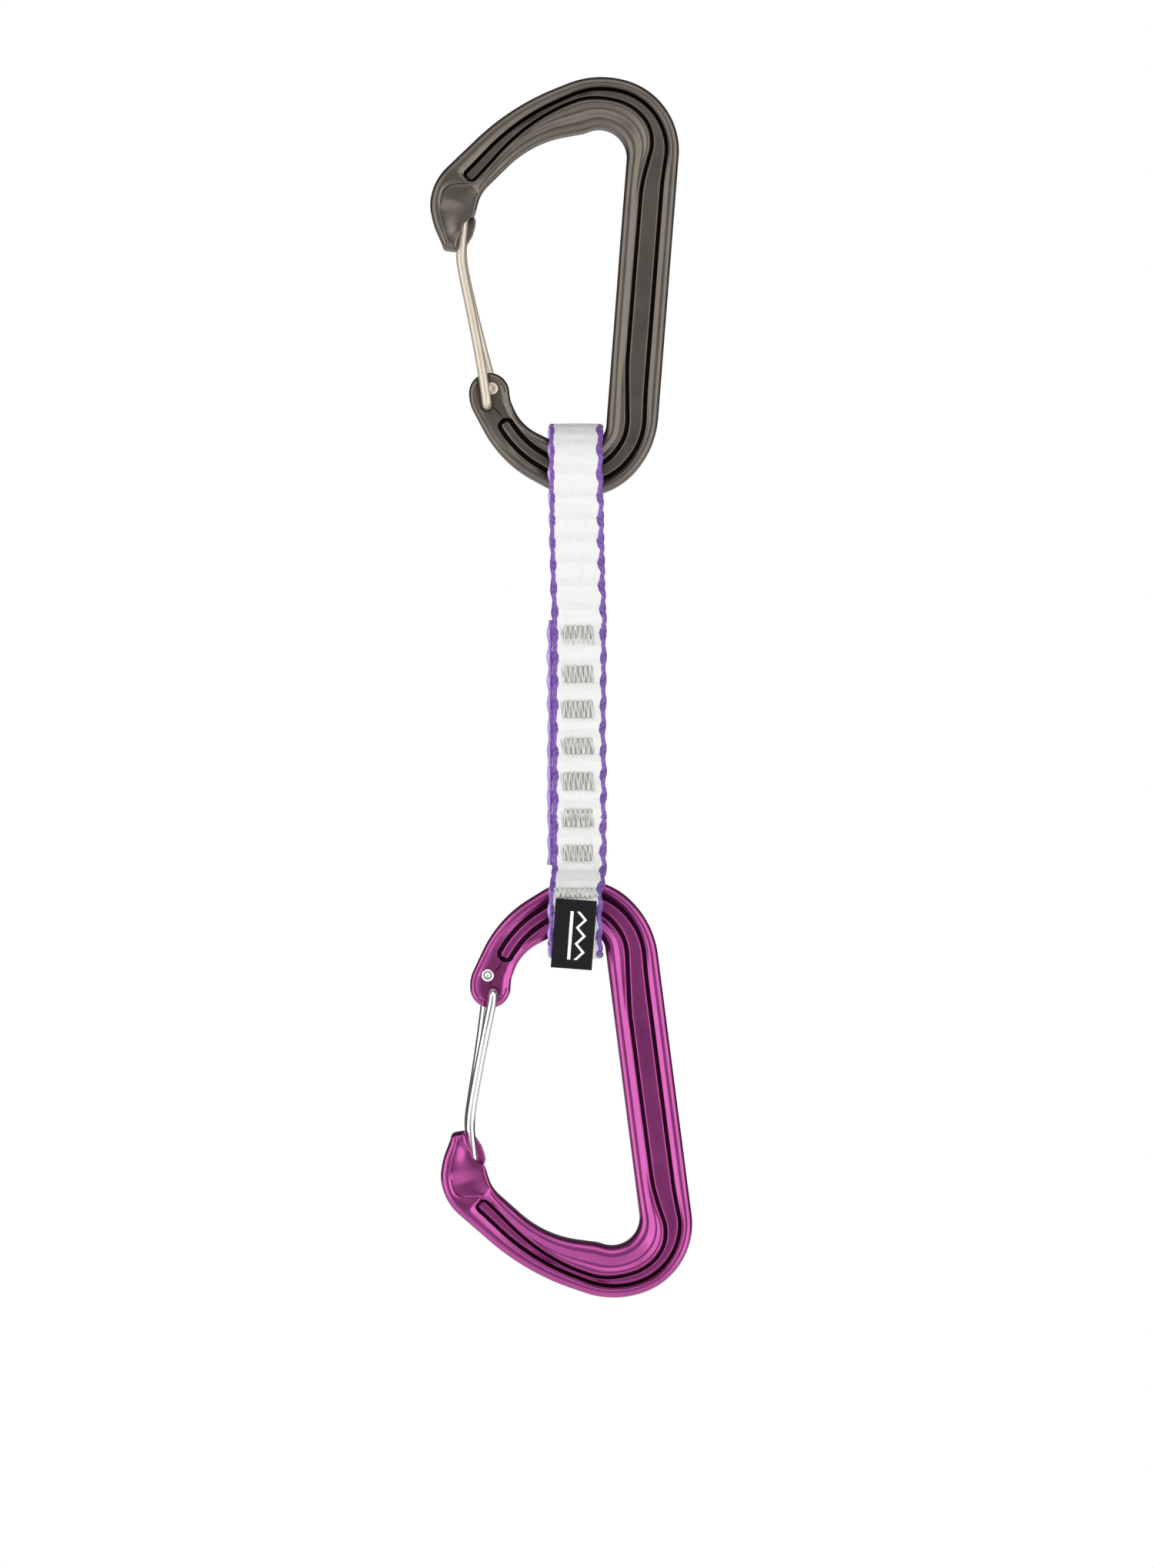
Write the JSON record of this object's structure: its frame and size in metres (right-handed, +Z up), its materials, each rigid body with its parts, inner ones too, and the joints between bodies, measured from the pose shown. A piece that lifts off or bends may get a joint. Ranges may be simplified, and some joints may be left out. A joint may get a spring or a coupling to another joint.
{
  "type": "climbing quickdraw",
  "caption": "Climbing quickdraw with two wire-gate carabiners on a sewn tape sling, hanging from its top carabiner.",
  "frame": {"origin": "hanger seat: the lowest point of contact inside the upper carabiner's top bend, on its mid plane", "axes": "+Z up along the hanging draw, -X to the side where the gates are, -Y to the front, where the label is"},
  "size_m": [0.0584, 0.0192, 0.2721],
  "materials": {
    "grey_anodised": "satin anodised",
    "purple_anodised": "glossy anodised",
    "champagne_wire": "matt",
    "bright_wire": "polished",
    "tape": "woven, violet selvedges",
    "thread": "bar-tack thread",
    "label": "woven label"
  },
  "bodies": {
    "upper_carabiner": {"upper_frame": "grey_anodised"},
    "upper_wire": {"upper_gate": "champagne_wire"},
    "upper_loop": {"tape_upper_loop": "tape"},
    "dogbone": {"tape_front_ply": "tape", "tape_back_ply": "tape", "tape_tail": "tape", "bar_tack_1": "thread", "bar_tack_2": "thread", "bar_tack_3": "thread", "bar_tack_4": "thread", "bar_tack_5": "thread", "bar_tack_6": "thread", "bar_tack_7": "thread"},
    "lower_loop": {"tape_lower_loop": "tape", "label": "label", "label_tack": "thread"},
    "lower_carabiner": {"lower_frame": "purple_anodised"},
    "lower_wire": {"lower_gate": "bright_wire"}
  },
  "joints": [
    {"name": "upper_gate_swing", "type": "hinge", "parent": "upper_carabiner", "child": "upper_wire", "pos_m": [-0.02605, 0, -0.0618], "axis": [0, 1, 0], "range_deg": [0, 32], "stiffness_Nm_per_rad": 0.25, "springref_deg": -14.32},
    {"name": "upper_loop_swing", "type": "hinge", "parent": "upper_carabiner", "child": "upper_loop", "pos_m": [-0.0063, 0, -0.0752], "axis": [1, 0, 0], "range_deg": [-110, 110]},
    {"name": "tape_side_bend", "type": "hinge", "parent": "upper_loop", "child": "dogbone", "pos_m": [-0.0063, 0, -0.103], "axis": [0, 1, 0], "range_deg": [-20, 20], "stiffness_Nm_per_rad": 0.25},
    {"name": "tape_twist", "type": "hinge", "parent": "dogbone", "child": "lower_loop", "pos_m": [-0.0063, 0, -0.1656], "axis": [0, 0, 1], "range_deg": [-60, 60], "stiffness_Nm_per_rad": 0.02},
    {"name": "lower_carabiner_swing", "type": "hinge", "parent": "lower_loop", "child": "lower_carabiner", "pos_m": [-0.0063, 0, -0.1744], "axis": [1, 0, 0], "range_deg": [-110, 110]},
    {"name": "lower_gate_swing", "type": "hinge", "parent": "lower_carabiner", "child": "lower_wire", "pos_m": [-0.02594, 0, -0.1889], "axis": [0, -1, 0], "range_deg": [0, 32], "stiffness_Nm_per_rad": 0.25, "springref_deg": -14.32}
  ]
}
